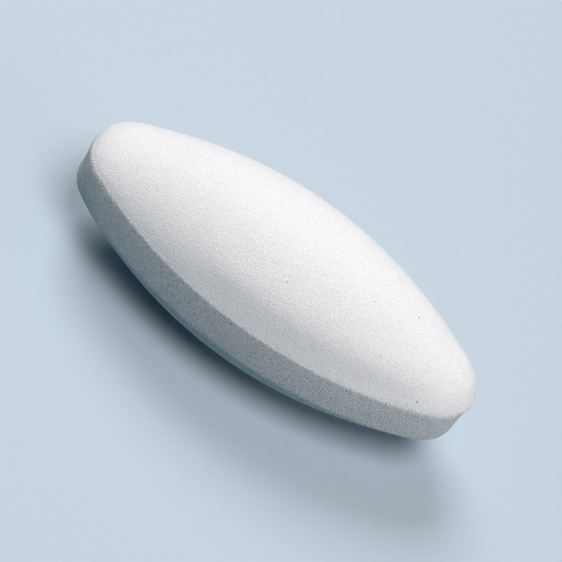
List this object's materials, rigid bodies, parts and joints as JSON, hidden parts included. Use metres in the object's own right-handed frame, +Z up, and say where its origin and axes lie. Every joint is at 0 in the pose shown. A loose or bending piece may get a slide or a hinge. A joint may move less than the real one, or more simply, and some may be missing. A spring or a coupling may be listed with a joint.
{
  "type": "magnetic stir bar",
  "caption": "Egg-shaped magnetic stir bar: a white moulded jacket with equal upper and lower domes and a straight belt, sealed round a rod magnet.",
  "frame": {"origin": "point under the middle of the bar that the lower crown rests on", "axes": "+X along the bar, +Y across it, +Z up through both crowns"},
  "size_m": [0.038, 0.016, 0.0147],
  "materials": {
    "jacket": "matte, as moulded",
    "magnet": "ground rod, dull grey"
  },
  "bodies": {
    "root": {"jacket": "jacket", "magnet": "magnet"}
  },
  "joints": []
}
